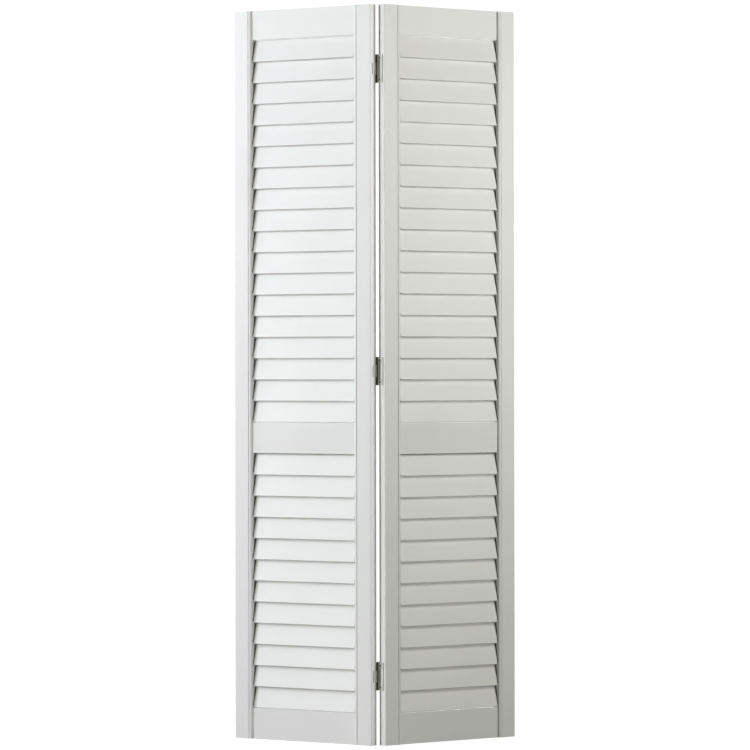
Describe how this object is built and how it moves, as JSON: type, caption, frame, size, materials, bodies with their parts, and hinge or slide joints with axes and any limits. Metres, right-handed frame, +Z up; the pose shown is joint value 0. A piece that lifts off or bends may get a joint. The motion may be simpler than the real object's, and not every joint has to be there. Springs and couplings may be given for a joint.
{
  "type": "louvred bifold closet door",
  "caption": "White louvred wooden bifold closet door: slatted panels joined by loose-pin hinges, standing half folded.",
  "frame": {"origin": "middle of the standing door's footprint, on the floor", "axes": "+X to the right panel, -Y to the front where the fold points, +Z up along the hinge pins"},
  "size_m": [0.7732, 0.2798, 2.007],
  "materials": {
    "frame_paint": "white satin paint on wood",
    "slat_paint": "white satin paint on thin wooden slats",
    "bare_wood": "bare beech dowel",
    "hinge_steel": "plated sheet steel, slightly worn",
    "pin_steel": "drawn steel, oiled",
    "screw_steel": "zinc-plated steel"
  },
  "bodies": {
    "left_panel": {"left_outer_stile": "frame_paint", "left_hinge_stile": "frame_paint", "left_bottom_rail": "frame_paint", "left_bottom_rail_dowels": "bare_wood", "left_middle_rail": "frame_paint", "left_middle_rail_dowels": "bare_wood", "left_top_rail": "frame_paint", "left_top_rail_dowels": "bare_wood", "left_lower_slats_1": "slat_paint", "left_lower_slats_2": "slat_paint", "left_lower_slats_3": "slat_paint", "left_lower_slats_4": "slat_paint", "left_upper_slats_1": "slat_paint", "left_upper_slats_2": "slat_paint", "left_upper_slats_3": "slat_paint", "left_upper_slats_4": "slat_paint", "left_upper_slats_5": "slat_paint", "left_upper_slats_6": "slat_paint", "lower_hinge_inner_leaf": "hinge_steel", "lower_hinge_inner_leaf_screws": "screw_steel", "middle_hinge_inner_leaf": "hinge_steel", "middle_hinge_inner_leaf_screws": "screw_steel", "upper_hinge_inner_leaf": "hinge_steel", "upper_hinge_inner_leaf_screws": "screw_steel"},
    "right_panel": {"right_outer_stile": "frame_paint", "right_hinge_stile": "frame_paint", "right_bottom_rail": "frame_paint", "right_bottom_rail_dowels": "bare_wood", "right_middle_rail": "frame_paint", "right_middle_rail_dowels": "bare_wood", "right_top_rail": "frame_paint", "right_top_rail_dowels": "bare_wood", "right_lower_slats_1": "slat_paint", "right_lower_slats_2": "slat_paint", "right_lower_slats_3": "slat_paint", "right_lower_slats_4": "slat_paint", "right_upper_slats_1": "slat_paint", "right_upper_slats_2": "slat_paint", "right_upper_slats_3": "slat_paint", "right_upper_slats_4": "slat_paint", "right_upper_slats_5": "slat_paint", "right_upper_slats_6": "slat_paint", "lower_hinge_outer_leaf": "hinge_steel", "lower_hinge_outer_leaf_screws": "screw_steel", "lower_hinge_pin": "pin_steel", "middle_hinge_outer_leaf": "hinge_steel", "middle_hinge_outer_leaf_screws": "screw_steel", "middle_hinge_pin": "pin_steel", "upper_hinge_outer_leaf": "hinge_steel", "upper_hinge_outer_leaf_screws": "screw_steel", "upper_hinge_pin": "pin_steel"}
  },
  "joints": [
    {"name": "fold", "type": "hinge", "parent": "left_panel", "child": "right_panel", "pos_m": [0, -0.11607, 0], "axis": [0, 0, 1], "range_deg": [-70.4, 109.6]}
  ]
}
